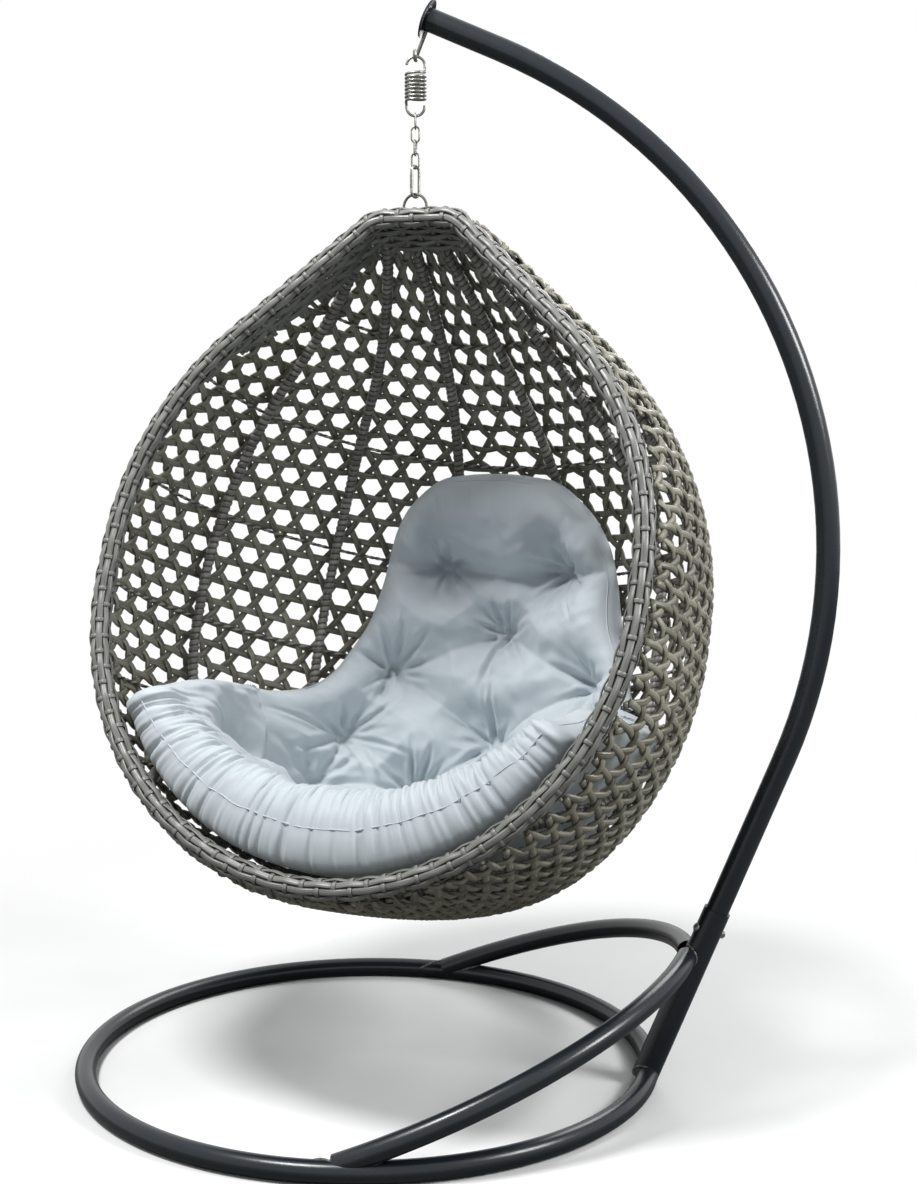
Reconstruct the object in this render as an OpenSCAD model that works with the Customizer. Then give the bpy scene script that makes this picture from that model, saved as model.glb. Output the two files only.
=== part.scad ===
// Hanging egg chair: a tubular stand and a wicker basket that hangs from it on a spring and chain.
// Millimetres. The origin is on the floor, under the middle of the whole chair. +X points to the
// pole's side, +Y to the back of the stand and +Z up.

/* [Stand] */
// Radius of the base ring at the centre of its tube
ring_r = 526; // [515:1:540]
// Outer diameter of the ring and brace tubes
ring_d = 38; // [36:1:40]
// Wall of the steel tubes
tube_wall = 2; // [1.5:0.1:2.5]
// Height of a brace's centre line where it leaves the ring
brace_low_z = 31; // [29:1:33]
// Slope of the plane that a brace bends in
brace_slope = 22.3; // [21.5:0.1:23]
// Bend radius of a brace
brace_r = 575; // [570:1:580]

/* [Pole] */
// Outer diameter of the pole
pole_d = 42; // [40:1:43]
// Lean of the pole's straight foot from the vertical
pole_lean = 21.6; // [21:0.1:22.2]
// Distance of the pole's axis from the ring's centre, at the height of the ring's tube
pole_foot_x = 522; // [515:1:530]
// Height at which the pole's bend starts
bend_z = 613; // [600:1:625]
// Radius of the pole's bend
bend_r = 972; // [960:1:985]
// Turn of the pole's bend
bend_turn = 88.5; // [88:0.1:89]
// Length of the straight end after the bend
end_len = 146; // [135:1:155]
// Length of the socket that holds the pole
socket_len = 346; // [330:1:360]
// Outer diameter of the socket
socket_d = 49; // [48:0.5:50]

/* [Hanger] */
// Diameter of the fixed hook's rod
hook_d = 7; // [6:0.5:7]
// Wire diameter of the spring
spring_wire = 5; // [4.5:0.1:5]
// Radius of the spring's coil at the centre of the wire
coil_r = 17.5; // [16:0.5:19]
// Number of turns in the coil
coil_turns = 7.5; // [5.5:1:7.5]
// Rise of the coil in each turn
coil_pitch = 6.5; // [6:0.1:7]
// Number of chain links
link_count = 4; // [4:1:4]
// Wire diameter of a chain link
link_wire = 3.5; // [3:0.1:3.6]
// Inside length of a chain link
link_inner = 23.4; // [22:0.1:26]
// Outside width of a chain link
link_w = 17.5; // [16.5:0.1:19]
// Inside length of the snap hook
snap_inner = 50; // [46:1:54]
// Wire diameter of the snap hook and of the basket's top loop
snap_wire = 5; // [4.5:0.1:5]

/* [Basket] */
// Half the width of the basket's rim at the centre of its tube
rim_r = 510; // [500:1:520]
// Height of the rim from its top to its bottom
basket_h = 1200; // [1180:5:1220]
// Greatest depth of the basket behind the rim
basket_depth = 740; // [700:5:760]
// Backward lean of the rim
tilt = 20; // [17:0.5:22]
// Turn of the basket's face about the vertical
swivel = -15; // [-20:1:-10]
// Outer diameter of the braid round the rim
braid_d = 38; // [36:1:40]
// Outer diameter of the steel tube inside the braid
rim_d = 22; // [20:1:25]
// Diameter of a rib with its wrapping
rib_d = 20; // [17:0.5:20]
// Diameter of a hoop with its twine
hoop_d = 7; // [6:0.5:7]
// Thickness of the woven skin
skin_t = 3; // [2.5:0.5:6]

/* [Cushion] */
// Thickness of the headrest
head_t = 95; // [80:5:110]
// Thickness of the seat
seat_t = 85; // [70:5:100]
// Extra thickness of the roll along the front
roll_t = 60; // [40:5:70]

/* [Hidden] */
$fn = 48;
// Segments of a full circle of a large bend
bend_fn = 240;

// Colours
frame_grey = [0.22, 0.22, 0.22];
bare_steel = [0.62, 0.62, 0.60];
wicker_grey = [0.42, 0.40, 0.37];
cushion_grey = [0.66, 0.70, 0.73];

// Gap between two pieces that hang in each other
gap = 0.3;
// A straight tube runs this far into a bend, and is this much thinner than it
lap = 1.5;
lap_step = 0.3;

// Stand: the socket's axis, the pole's turtle path, and the shift that centres the chair
socket_z = socket_d / 2 * sin(pole_lean) + 1;
socket_x = pole_foot_x + (socket_z - ring_d / 2) * tan(pole_lean);
pole_in_socket = 246;
bend_start = [pole_foot_x + (bend_z - ring_d / 2) * tan(pole_lean), bend_z];
bend_centre = bend_start + bend_r * [-cos(pole_lean), sin(pole_lean)];
end_heading = 90 - pole_lean + bend_turn;
bend_end = bend_centre + bend_r * [sin(end_heading), -cos(end_heading)];
pole_tip = bend_end + end_len * [cos(end_heading), sin(end_heading)];
stand_x = (ring_r + ring_d / 2 - bend_centre.x - bend_r - pole_d / 2) / 2;
brace_centre = [66, 60];
brace_from = 8;
brace_lead = 12;
plate_d = 70;
plate_rise = 7;
plate_t = 3;

// Bolt through the socket and the pole
bolt_d = 8;
bolt_hole = 8.4;
bolt_head_d = 17;
bolt_head_h = 6;
bolt_turn = 25;
bolt_drop = 42;
nut_w = 13;
nut_h = 6.5;

// Hook, spring and chain, each hanging one gap clear of the last
hook_back = 17.6;
hook_fall = 72.2;
hook_x = pole_tip.x - hook_back;
hook_z = pole_tip.y - hook_fall;
hook_bend = 9;
hook_top = [24, -9, 54];
hook_lip = 5;
loop_r = 16.3;
foot_r = 16;
spring_turn = 8;
spring_top = hook_z + hook_d / 2 + gap + spring_wire / 2;
loop_z = spring_top - loop_r;
coil_top = loop_z - 12;
coil_bottom = coil_top - coil_turns * coil_pitch;
foot_z = coil_bottom - 10.5;
spring_bottom = foot_z - foot_r;
link_step = link_inner - gap;
link_turns = [98, 2, 86, -12];
first_link_z = spring_bottom + spring_wire / 2 + gap;
snap_z = first_link_z - (link_count - 1) * link_step - link_inner + gap;
snap_turn = 57;
snap_bend = 9.5;
snap_mid = snap_z - snap_inner / 2;
gate_low = 9.1;
gate_high = 12.7;
gate_d = 6;
gate_gap = 0.7;
pivot_d = 2;
tang_t = 3;
hang_z = snap_z - snap_inner + gap;

// Basket: levels are measured down the rim's plane from its top
loop_rise = 39.4;
arch_r = 22.5;
lower_c = basket_h - rim_r;
side_top = lower_c - 53;
shoulder_r = 560;
flank_angle = 48;
nose_r = 60;
flank_low = side_top - shoulder_r * sin(flank_angle);
flank_low_u = rim_r - shoulder_r * (1 - cos(flank_angle));
nose_low = nose_r * (1 - sin(flank_angle));
nose_u = flank_low_u - (flank_low - nose_low) * tan(flank_angle) - nose_r * cos(flank_angle);
deep_v = 735;
top_power = 3;
bottom_power = 9;
waist = 0.215;
half_turn = acos(-waist / (1 - waist));
rib_at = [-0.695, -0.415, -0.14, 0.14, 0.415, 0.695];
rib_end_v = [1060, 1150, 1190, 1190, 1150, 1060];
rib_turn_v = [850, 950, 1000, 1000, 950, 850];
rib_turn_power = [2, 3, 4, 4, 3, 2];
rib_rings = 26;
rib_fine = 240;
rib_step = 110;
rib_step_turn = 18;
rib_clear = 30;
hoop_levels = [130, 290, 478, 684, 850, 1000, 1110];
hoop_out = rib_d / 2 + hoop_d / 2 + 2;
hoop_steps = 28;
hoop_clear = 20;
skin_in = hoop_out + hoop_d / 2 + 1.5;
skin_clear = 14;
panel_edges = [-1, -0.695, -0.415, -0.14, 0.14, 0.415, 0.695, 1];
panel_gap = 0.0005;
panel_steps = 4;
skin_levels = concat([13, 30, 55, 90, 130, 205, 290, 380, 478, 580, 684, 770, 850, 925, 1000, 1055,
    1110], [for (q = [35, 48, 60, 70, 78, 85]) bottom_level(q)]);

// Cushion, drawn on a flat plan of [x, level] that folds onto the basket
cushion_gap = 3.5;
cushion_out = rib_d / 2 + cushion_gap;
well_r = rim_r - cushion_out;
lip_y = 6;
plan_centre = [0, 900];
lip_turn = 62;
lip_steps = 12;
edge_w = 60;
seam_share = 0.42;
tuft_w = 38;
tuft_depth = 0.42;
wing_edge = [[790, 66], [715, 69], [600, 71.5], [500, 73]];
side_edge = [[441, 820], [396, 799], [350, 778], [318, 735], [298, 675], [284, 610], [276, 540],
    [268, 470], [247, 400], [205, 340], [140, 303], [70, 290], [0, 286]];
top_shares = [0.1, 0.22, 0.34, 0.46, 0.57, 0.67, 0.76, 0.84, 0.9, 0.945, 0.98];
under_shares = [0.985, 0.95, 0.89, 0.8, 0.68, 0.52, 0.34, 0.16];
tufts = [[148, 468], [0, 602], [240, 710], [0, 832], [308, 862], [160, 962], [330, 990], [500, 1056]];

// --- Vectors and swept tubes ---

function unit(v) = v / norm(v);
function tangent(p, i) = unit(p[min(i + 1, len(p) - 1)] - p[max(i - 1, 0)]);
function carried(n, t) = unit(n - (n * t) * t);

// Normals carried along path p from the normal n0, without twist
function normals(p, n0) = [
    for (i = 0, n = carried(n0, tangent(p, 0)); i < len(p);
        i = i + 1, n = i < len(p) ? carried(n, tangent(p, i)) : n) n];

// Cross-sections of a round tube of radius r along path p
function tube_rings(p, r, sides, n0) =
    let (ns = normals(p, n0))
    [for (i = [0:len(p) - 1])
        let (b = cross(tangent(p, i), ns[i]))
        [for (k = [0:sides - 1]) p[i] + r * (cos(360 * k / sides) * ns[i] + sin(360 * k / sides) * b)]];

// A solid through closed cross-sections that all have the same number of points
module loft(rings) {
    n = len(rings[0]);
    last = len(rings) - 1;
    sides = [for (i = [0:last - 1], k = [0:n - 1], half = [0, 1])
        let (a = i * n + k, b = i * n + (k + 1) % n)
        half == 0 ? [a, b, b + n] : [a, b + n, a + n]];
    caps = [[for (k = [0:n - 1]) n - 1 - k], [for (k = [0:n - 1]) last * n + k]];
    polyhedron(points = [for (r = rings, q = r) q], faces = concat(sides, caps), convexity = 10);
}

// A straight round bar from a to b
module bar(a, b, d) {
    dir = b - a;
    translate(a) rotate([0, acos(dir.z / norm(dir)), atan2(dir.y, dir.x)])
        cylinder(h = norm(dir), d = d);
}

// --- Places ---

module on_stand() {
    translate([stand_x, 0, 0]) children();
}

// Stands a drawing of the XY plane up in the XZ plane
module upright() {
    rotate([90, 0, 0]) children();
}

module along_socket() {
    on_stand() translate([socket_x, 0, socket_z]) rotate([0, pole_lean, 0]) children();
}

// The plane of a hanging piece: through the hang axis, turned by an angle, at height z
module hung(turn, z) {
    on_stand() translate([hook_x, 0, z]) rotate([0, 0, turn]) children();
}

// The basket's rim frame: X along the rim's width, Y into the basket, -Z down the rim's plane
module in_basket() {
    hung(swivel, hang_z - loop_rise) rotate([-tilt, 0, 0]) children();
}

// --- Stand ---

module tube_section(d) {
    difference() {
        circle(d = d, $fn = 48);
        circle(d = d - 2 * tube_wall, $fn = 48);
    }
}

module ring_solid() {
    on_stand() translate([0, 0, ring_d / 2]) rotate_extrude($fn = bend_fn)
        translate([ring_r, 0]) circle(d = ring_d, $fn = 48);
}

// The socket's outline, run past its lower end so that it cuts the ring right through
module socket_solid() {
    along_socket() translate([0, 0, -60]) cylinder(h = socket_len + 60, d = socket_d);
}

module base_ring() {
    color(frame_grey) difference() {
        on_stand() translate([0, 0, ring_d / 2]) rotate_extrude($fn = bend_fn)
            translate([ring_r, 0]) tube_section(ring_d);
        socket_solid();
    }
}

// A brace bends round in a sloping plane, from the ring up to the socket's side
module brace(side) {
    color(frame_grey) difference() {
        on_stand() translate([brace_centre.x, -side * brace_centre.y, brace_low_z])
            rotate([0, -brace_slope, 0]) mirror([0, side < 0 ? 1 : 0, 0]) {
                rotate_extrude(angle = 90 - brace_from, start = brace_from, $fn = bend_fn)
                    translate([brace_r, 0]) tube_section(ring_d);
                translate([0, brace_r, 0]) rotate([0, -90, 0])
                    linear_extrude(brace_lead) tube_section(ring_d);
            }
        ring_solid();
        socket_solid();
    }
}

module bolt_line(z) {
    along_socket() translate([0, 0, socket_len - bolt_drop]) rotate([0, 0, 180 + bolt_turn])
        rotate([0, 90, 0]) translate([0, 0, z]) children();
}

module bolt_bore() {
    bolt_line(-socket_d) cylinder(h = 2 * socket_d, d = bolt_hole);
}

module socket_tube() {
    color(frame_grey) difference() {
        along_socket() cylinder(h = socket_len, d = socket_d);
        along_socket() translate([0, 0, -1]) cylinder(h = socket_len + 2, d = pole_d + 0.4);
        bolt_bore();
    }
}

module socket_bolt() {
    color(bare_steel) {
        bolt_line(-socket_d / 2 - nut_h - 3) cylinder(h = socket_d + nut_h + 4, d = bolt_d);
        bolt_line(socket_d / 2) cylinder(h = 1.5, d = bolt_head_d);
        bolt_line(socket_d / 2 + 1.5) intersection() {
            translate([0, 0, bolt_head_h - 1.5 - bolt_head_d / 1.6]) sphere(d = bolt_head_d * 1.25);
            cylinder(h = bolt_head_h, d = bolt_head_d);
        }
    }
}

module socket_nut() {
    color(bare_steel) bolt_line(-socket_d / 2 - nut_h) difference() {
        cylinder(h = nut_h, d = nut_w / cos(30), $fn = 6);
        translate([0, 0, -1]) cylinder(h = nut_h + 2, d = bolt_d);
    }
}

// Top of the hook's shank, and the bend's end that it runs down to
hook_end = [0, hook_bend, hook_z + hook_bend];
module hook_shank(reach) {
    hung(0, 0) bar(hook_end, hook_end + reach * hook_top, hook_d);
}

module pole_solid(d, over = 0) {
    straight = pole_in_socket + (bend_start.x - socket_x) / sin(pole_lean) - socket_len;
    along_socket() translate([0, 0, socket_len - pole_in_socket - over])
        cylinder(h = straight + lap + over, d = d - lap_step);
    on_stand() upright() translate(bend_centre) rotate([0, 0, -pole_lean])
        rotate_extrude(angle = bend_turn, $fn = bend_fn)
            translate([bend_r, 0]) circle(d = d, $fn = 48);
    on_stand() translate([bend_end.x, 0, bend_end.y]) rotate([0, 90 - end_heading, 0])
        translate([0, 0, -lap]) cylinder(h = end_len + lap + over, d = d - lap_step);
}

module pole() {
    color(frame_grey) difference() {
        pole_solid(pole_d);
        pole_solid(pole_d - 2 * tube_wall, 1);
        bolt_bore();
        hook_shank(1);
    }
}

// A shallow dish over the pole's end
module end_plate() {
    dish_r = (pow(plate_d / 2, 2) + pow(plate_rise, 2)) / (2 * plate_rise);
    seat = sqrt(pow(dish_r - plate_t, 2) - pow(pole_d / 2, 2));
    color(frame_grey) on_stand() translate([pole_tip.x, 0, pole_tip.y])
        rotate([0, 90 - end_heading, 0]) translate([0, 0, -seat]) intersection() {
            difference() {
                sphere(r = dish_r, $fn = 96);
                sphere(r = dish_r - plate_t, $fn = 96);
            }
            cylinder(h = 2 * dish_r, d = plate_d);
        }
}

module hanging_hook() {
    color(bare_steel) union() {
        hook_shank(0.75);
        hung(90, hook_z + hook_bend) upright()
            rotate_extrude(angle = 180, start = 180) translate([hook_bend, 0]) circle(d = hook_d);
        hung(0, 0) translate(hook_end) sphere(d = hook_d);
        hung(0, hook_z + hook_bend) translate([0, -hook_bend, 0]) {
            cylinder(h = hook_lip, d = hook_d);
            translate([0, 0, hook_lip]) sphere(d = hook_d);
        }
    }
}

// --- Spring ---

function upright_arc(z, r, from, to, steps) =
    [for (i = [0:steps]) let (a = from + (to - from) * i / steps) [r * cos(a), 0, z + r * sin(a)]];
function coil_point(a) = [coil_r * cos(a), -coil_r * sin(a), coil_top - coil_pitch * a / 360];

// Cubic curve from a to b that leaves along da and arrives along db
function eased(a, da, b, db, steps) = [for (i = [1:steps - 1])
    let (s = i / steps, r = 1 - s)
    r * r * r * a + 3 * r * r * s * (a + da) + 3 * r * s * s * (b - db) + s * s * s * b];

coil_lead = 40;
coil_end = 360 * coil_turns - coil_lead;
top_arc = upright_arc(loop_z, loop_r, 173, 0, 10);
coil = [for (a = [coil_lead:45:coil_end]) coil_point(a)];
bottom_arc = upright_arc(foot_z, foot_r, 180, 368, 10);
coil_first = coil[0];
coil_last = coil[len(coil) - 1];
spring_path = concat(
    top_arc,
    eased(top_arc[10], [0, 0, -8], coil_first, [-6, -8, 0], 5),
    coil,
    eased(coil_last, 8 * tangent(coil, len(coil) - 1), bottom_arc[0], [0, 0, -8], 5),
    bottom_arc);

// Least gap between turns of the wire that are not neighbours along it
near = 7;
spring_gap = min([for (i = [0:len(spring_path) - near - 1], j = [i + near:len(spring_path) - 1])
    norm(spring_path[i] - spring_path[j])]) - spring_wire;

module spring() {
    echo(spring_gap = spring_gap);
    color(bare_steel) hung(spring_turn, 0)
        loft(tube_rings(spring_path, spring_wire / 2, 6, [1, 0, 0]));
}

// --- Chain and snap hook ---

// An oval ring of round wire, its inside running down from z = 0
module oval(inner, bend, wire) {
    side = inner + wire - 2 * bend;
    translate([0, 0, wire / 2 - bend]) upright()
        rotate_extrude(angle = 180) translate([bend, 0]) circle(d = wire);
    translate([0, 0, wire / 2 - bend - side]) upright()
        rotate_extrude(angle = 180, start = 180) translate([bend, 0]) circle(d = wire);
    for (x = [-bend, bend])
        translate([x, 0, wire / 2 - bend - side]) cylinder(h = side, d = wire);
}

module chain_link(i) {
    color(bare_steel) hung(link_turns[i], first_link_z - i * link_step)
        oval(link_inner, (link_w - link_wire) / 2, link_wire);
}

// The gate's pivot, on the left leg of the snap hook
module at_pivot() {
    hung(snap_turn, snap_mid - gate_low) translate([-snap_bend, 0, 0]) children();
}

module pivot_bore(d) {
    translate([0, gate_d, 0]) rotate([90, 0, 0]) cylinder(h = 2 * gate_d, d = d);
}

module snap_hook_body() {
    tang_r = 2.4;
    shoulder = 3.5;
    color(bare_steel) difference() {
        union() {
            difference() {
                hung(snap_turn, snap_z) oval(snap_inner, snap_bend, snap_wire);
                at_pivot() translate([-snap_wire, -snap_wire, -shoulder])
                    cube([2 * snap_wire, 2 * snap_wire, shoulder + gate_low + gate_high]);
            }
            at_pivot() translate([0, tang_t / 2, 0]) rotate([90, 0, 0]) cylinder(h = tang_t, r = tang_r);
            at_pivot() translate([-tang_r, -tang_t / 2, -shoulder - 0.5])
                cube([2 * tang_r, tang_t, shoulder + 0.5]);
        }
        at_pivot() pivot_bore(pivot_d);
    }
}

module snap_hook_gate() {
    gate_h = gate_low + gate_high - gate_gap;
    slot = tang_t + 0.7;
    color(bare_steel) at_pivot() difference() {
        union() {
            cylinder(h = gate_h, d = gate_d);
            intersection() {
                translate([0, gate_d / 2, 0]) rotate([90, 0, 0]) cylinder(h = gate_d, r = 2.5);
                translate([0, 0, -gate_d / 2]) cylinder(h = gate_d, d = gate_d);
            }
        }
        translate([-gate_d, -slot / 2, -gate_d]) cube([2 * gate_d, slot, gate_d + 3]);
        pivot_bore(pivot_d + 0.1);
    }
}

module gate_pin() {
    color(bare_steel) at_pivot() translate([0, gate_d / 2, 0]) rotate([90, 0, 0])
        cylinder(h = gate_d, d = pivot_d);
}

// --- Basket shape ---

// Half the rim's width at level v
function rim_half(v) =
    v >= lower_c ? sqrt(max(0, pow(rim_r, 2) - pow(v - lower_c, 2))) :
    v >= side_top ? rim_r :
    v >= flank_low ? rim_r - shoulder_r + sqrt(pow(shoulder_r, 2) - pow(side_top - v, 2)) :
    v >= nose_low ? flank_low_u - (flank_low - v) * tan(flank_angle) :
    nose_u + sqrt(max(0, pow(nose_r, 2) - pow(nose_r - v, 2)));

// Depth of the basket at level v
function depth_at(v) = v < deep_v
    ? basket_depth * (1 - pow((deep_v - v) / deep_v, top_power))
    : basket_depth * sqrt(max(0, 1 - pow((v - deep_v) / (basket_h - deep_v), bottom_power)));

// Level at which the underside has curved in by the angle q
function bottom_level(q) = deep_v + (basket_h - deep_v) * pow(sin(q), 2 / bottom_power);

// Share of the depth that a point at t has: t runs from -1 to 1 round a level, rim to rim
function reach(t) = waist + (1 - waist) * cos(half_turn * t);
function shell(v, t) = [rim_half(v) * sin(half_turn * t) / sin(half_turn), depth_at(v) * reach(t), -v];
function outward(v, t) = unit(cross(shell(v, t + 0.002) - shell(v, t - 0.002),
    shell(v + 0.2, t) - shell(v - 0.2, t)));
function skin(v, t, out) = shell(v, t) + out * outward(v, t);

// The t at which a level comes within the depth d of the rim's plane
function t_at(v, d) = acos((d / depth_at(v) - waist) / (1 - waist)) / half_turn;

// --- Rim ---

// A straight stretch of the rim's outline, lapped into the bends at both of its ends
module rim_straight(from, to, d) {
    run = norm(to - from) + 2 * lap;
    translate(from) rotate([0, 0, atan2(to.y - from.y, to.x - from.x) - 90]) rotate([-90, 0, 0])
        translate([0, 0, -lap]) cylinder(h = run, d = d - lap_step);
}

module rim_bend(centre, r, from, turn, d) {
    translate(centre) rotate([0, 0, from]) rotate_extrude(angle = turn, $fn = bend_fn)
        translate([r, 0]) circle(d = d, $fn = 48);
}

module rim_outline(d) {
    shoulder_end = [flank_low_u, -flank_low];
    nose_end = [nose_u + nose_r * cos(flank_angle), -nose_low];
    upright() {
        rim_bend([0, -lower_c], rim_r, 180, 180, d);
        rim_straight([-nose_u, 0], [nose_u, 0], d);
        for (side = [0, 1]) mirror([side, 0, 0]) {
            rim_straight([rim_r, -lower_c], [rim_r, -side_top], d);
            rim_bend([rim_r - shoulder_r, -side_top], shoulder_r, 0, flank_angle, d);
            rim_straight(shoulder_end, nose_end, d);
            rim_bend([nose_u, -nose_r], nose_r, flank_angle, 90 - flank_angle, d);
        }
    }
}

module rim_solid(d) {
    in_basket() rim_outline(d);
}

module rim_tube() {
    color(frame_grey) difference() {
        rim_solid(rim_d);
        rim_solid(rim_d - 2 * tube_wall);
    }
}

module top_loop_wire() {
    leg = loop_rise + snap_wire / 2 - arch_r;
    hung(swivel, hang_z + snap_wire / 2 - arch_r) {
        upright() rotate_extrude(angle = 180) translate([arch_r, 0]) circle(d = snap_wire);
        for (x = [-arch_r, arch_r])
            translate([x, 0, -leg]) cylinder(h = leg, d = snap_wire);
    }
}

module top_loop() {
    color(bare_steel) difference() {
        top_loop_wire();
        in_basket() translate([-nose_u, 0, 0]) rotate([0, 90, 0]) cylinder(h = 2 * nose_u, d = rim_d);
    }
}

module rim_braid() {
    color(wicker_grey) difference() {
        rim_solid(braid_d);
        rim_solid(rim_d);
        hung(swivel, hang_z - loop_rise) for (x = [-arch_r, arch_r])
            translate([x, 0, 0]) cylinder(h = braid_d, d = snap_wire);
    }
}

// --- Ribs, hoops and woven skin ---

// Level at which a rib at t first stands clear of the rim
function rib_start_v(t) = deep_v * (1 - pow(1 - rib_clear / reach(t) / basket_depth, 1 / top_power));

// A rib keeps its t down the back, then swings out under the seat to land on the rim
function rib_point(i, share) =
    let (from = rib_start_v(rib_at[i]), to = rib_end_v[i],
        land = sign(rib_at[i]) * t_at(to, rib_clear),
        v = to - (to - from) * pow(1 - share, 2),
        swing = pow(max(0, v - rib_turn_v[i]) / (to - rib_turn_v[i]), rib_turn_power[i]))
    shell(v, rib_at[i] + (land - rib_at[i]) * swing);

// How much of a ring's step the path uses up round point k, by its length and by its turning
function step_used(path, k) =
    let (a = path[k] - path[max(0, k - 1)], b = path[k + 1] - path[k])
    norm(b) / rib_step + (k == 0 ? 0 : acos(min(1, unit(a) * unit(b))) / rib_step_turn);

// Rings stand close together where the rib bends and far apart where it runs nearly straight
function rib_path(i) =
    let (path = [for (k = [0:rib_fine]) rib_point(i, k / rib_fine)],
        used = [for (k = 0, sum = 0; k <= rib_fine;
            sum = sum + (k < rib_fine ? step_used(path, k) : 0), k = k + 1) [sum, k / rib_fine]])
    [for (k = [0:rib_rings]) rib_point(i, lookup(used[rib_fine][0] * k / rib_rings, used))];

module rib(i) {
    color(wicker_grey) in_basket() loft(tube_rings(rib_path(i), rib_d / 2, 8, [1, 0, 0]));
}

function hoop_path(v) = let (end = t_at(v, hoop_clear))
    [for (k = [0:hoop_steps]) skin(v, end * (2 * k / hoop_steps - 1), hoop_out)];

module hoop(i) {
    color(wicker_grey) in_basket() loft(tube_rings(hoop_path(hoop_levels[i]), hoop_d / 2, 6, [0, 0, 1]));
}

// The skin between two ribs: each cross-section runs out along its inside and back along its outside
function panel_ring(i, v) =
    let (end = t_at(v, skin_clear), from = panel_edges[i] + panel_gap,
        step = (panel_edges[i + 1] - panel_gap - from) / panel_steps)
    concat([for (k = [0:panel_steps]) skin(v, end * (from + k * step), skin_in)],
        [for (k = [panel_steps:-1:0]) skin(v, end * (from + k * step), skin_in + skin_t)]);

module weave(i) {
    color(wicker_grey) in_basket() loft([for (v = skin_levels) panel_ring(i, v)]);
}

// --- Cushion ---

function smooth(x) = let (c = min(1, max(0, x))) c * c * (3 - 2 * c);

// Depth of the basket behind the rim's plane, at a point of the plan
function depth_of(p) = let (c = p.x * sin(half_turn) / rim_half(p.y))
    depth_at(p.y) * (waist + (1 - waist) * sqrt(max(0, 1 - c * c)));

// Point of the plan at the distance r from the mouth's centre, a degrees round from its lowest point
function round_mouth(r, a) = [r * sin(a), lower_c + r * cos(a)];

// Folds the plan onto the basket. Past the mouth's circle it turns forward, towards the rim
function fold(p) =
    let (r = norm([p.x, p.y - lower_c]), k = min(1, well_r / r), q = [p.x * k, lower_c + (p.y - lower_c) * k])
    [q.x, depth_of(q) - max(0, r - well_r), -q.y];
function inward(p) = let (e = 15)
    unit(cross(fold(p + [0, e]) - fold(p - [0, e]), fold(p + [e, 0]) - fold(p - [e, 0])));
function on_plan(p, h) = fold(p) + h * inward(p);

// Distance round the folded wall from the front lip to the mouth's circle
function wall_len(a) = depth_of(round_mouth(well_r, a)) - lip_y;

half_outline = concat(
    [for (i = [0:lip_steps]) let (a = lip_turn * i / lip_steps) round_mouth(well_r + wall_len(a), a)],
    [for (q = wing_edge) round_mouth(q[0], q[1])],
    side_edge);
half_len = len(half_outline);
outline = concat([for (q = half_outline) [-q.x, q.y]],
    [for (i = [half_len - 2:-1:1]) half_outline[i]]);

function tuft_pull(p) = max([for (q = tufts, s = [-1, 1])
    exp(-(pow(p.x - s * q.x, 2) + pow(p.y - q.y, 2)) / 2 / tuft_w / tuft_w)]);

// Full thickness at a point of the plan: the roll stands along the front and dies out up the wings
function cushion_h(p) =
    let (a = abs(atan2(p.x, p.y - lower_c)), to_lip = well_r + wall_len(a) - norm([p.x, p.y - lower_c]),
        body = head_t + (seat_t - head_t) * smooth((p.y - 600) / 200),
        front = seat_t + roll_t * (1 - 0.00028 * a * a),
        rolled = a < 90 ? 1 - smooth((to_lip - 70) / 150) : 0)
    (body + (front - body) * rolled) * (1 - tuft_depth * tuft_pull(p));

// Roundness of the edge at the share f of the way from the plan's centre to an outline point e
function crown(e, f) = let (w = (1 - f) * norm(e - plan_centre)) sqrt(1 - pow(max(0, 1 - w / edge_w), 2));

function cushion_ring(f, side) = [for (e = outline)
    let (p = plan_centre + f * (e - plan_centre), c = crown(e, f), h = cushion_h(p),
        share = side > 0 ? seam_share + (1 - seam_share) * c : seam_share * (1 - c))
    on_plan(p, cushion_out + h * share)];

module cushion() {
    rings = concat([for (f = top_shares) cushion_ring(f, 1)], [cushion_ring(1, 1)],
        [for (f = under_shares) cushion_ring(f, -1)]);
    n = len(outline);
    last = len(rings) * n;
    middle_h = cushion_h(plan_centre);
    color(cushion_grey) in_basket() polyhedron(
        points = concat([for (r = rings, q = r) q],
            [on_plan(plan_centre, cushion_out + middle_h), on_plan(plan_centre, cushion_out)]),
        faces = concat(
            [for (i = [0:len(rings) - 2], k = [0:n - 1], half = [0, 1])
                let (a = i * n + k, b = i * n + (k + 1) % n)
                half == 0 ? [a, b, b + n] : [a, b + n, a + n]],
            [for (k = [0:n - 1]) [(k + 1) % n, k, last]],
            [for (k = [0:n - 1]) [last - n + k, last - n + (k + 1) % n, last + 1]]),
        convexity = 10);
}

base_ring();
brace(-1);  // brace_left
brace(1);  // brace_right
socket_tube();
socket_bolt();
socket_nut();
pole();
end_plate();
hanging_hook();
spring();
chain_link(0);  // chain_link_1
chain_link(1);  // chain_link_2
chain_link(2);  // chain_link_3
chain_link(3);  // chain_link_4
snap_hook_body();
snap_hook_gate();
gate_pin();
top_loop();
rim_tube();
rim_braid();
rib(0);  // rib_1
rib(1);  // rib_2
rib(2);  // rib_3
rib(3);  // rib_4
rib(4);  // rib_5
rib(5);  // rib_6
hoop(0);  // hoop_1
hoop(1);  // hoop_2
hoop(2);  // hoop_3
hoop(3);  // hoop_4
hoop(4);  // hoop_5
hoop(5);  // hoop_6
hoop(6);  // hoop_7
weave(0);  // weave_1
weave(1);  // weave_2
weave(2);  // weave_3
weave(3);  // weave_4
weave(4);  // weave_5
weave(5);  // weave_6
weave(6);  // weave_7
cushion();
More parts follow.
